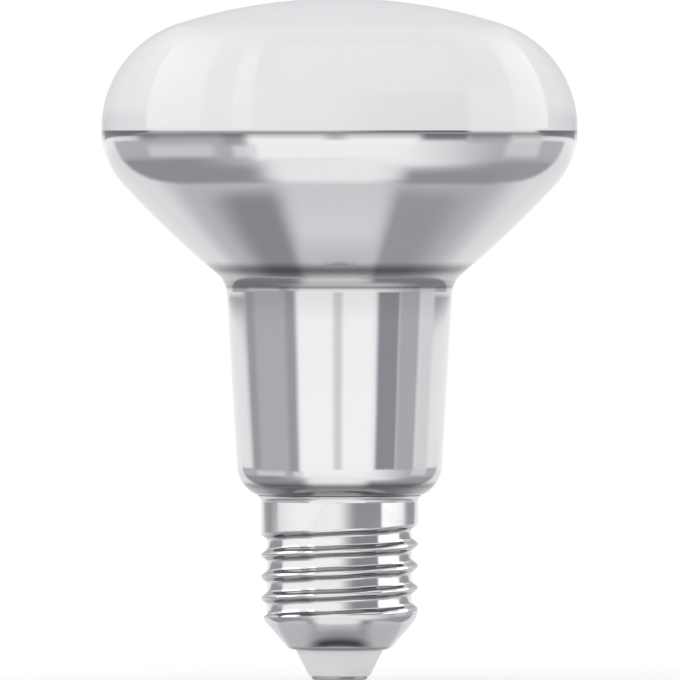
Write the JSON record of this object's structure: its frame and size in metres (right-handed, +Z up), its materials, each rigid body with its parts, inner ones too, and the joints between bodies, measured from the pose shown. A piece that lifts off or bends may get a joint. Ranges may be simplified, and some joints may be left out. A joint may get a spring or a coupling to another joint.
{
  "type": "reflector bulb",
  "caption": "Mushroom-shaped reflector bulb with a frosted dome, a mirror-coated bowl and neck in one blown glass, and a nickel-plated screw cap with a centre contact.",
  "frame": {"origin": "middle of the centre contact's end face, where the bulb meets the holder's contact", "axes": "+Z up the bulb's axis, from the centre contact to the crown of the dome; +X and +Y square to it, with the ends of the thread's groove at the +Y side"},
  "size_m": [0.08, 0.08, 0.115],
  "materials": {
    "coated_glass": "clear glass, frosted inside the dome and mirror-coated inside the bowl and neck",
    "nickel_plate": "bright nickel plate",
    "insulator": "pale, slightly translucent moulding",
    "contact_metal": "stamped plated metal"
  },
  "bodies": {
    "root": {"glass_bulb": "coated_glass", "screw_shell": "nickel_plate", "cap_insulator": "insulator", "centre_contact": "contact_metal"}
  },
  "joints": []
}
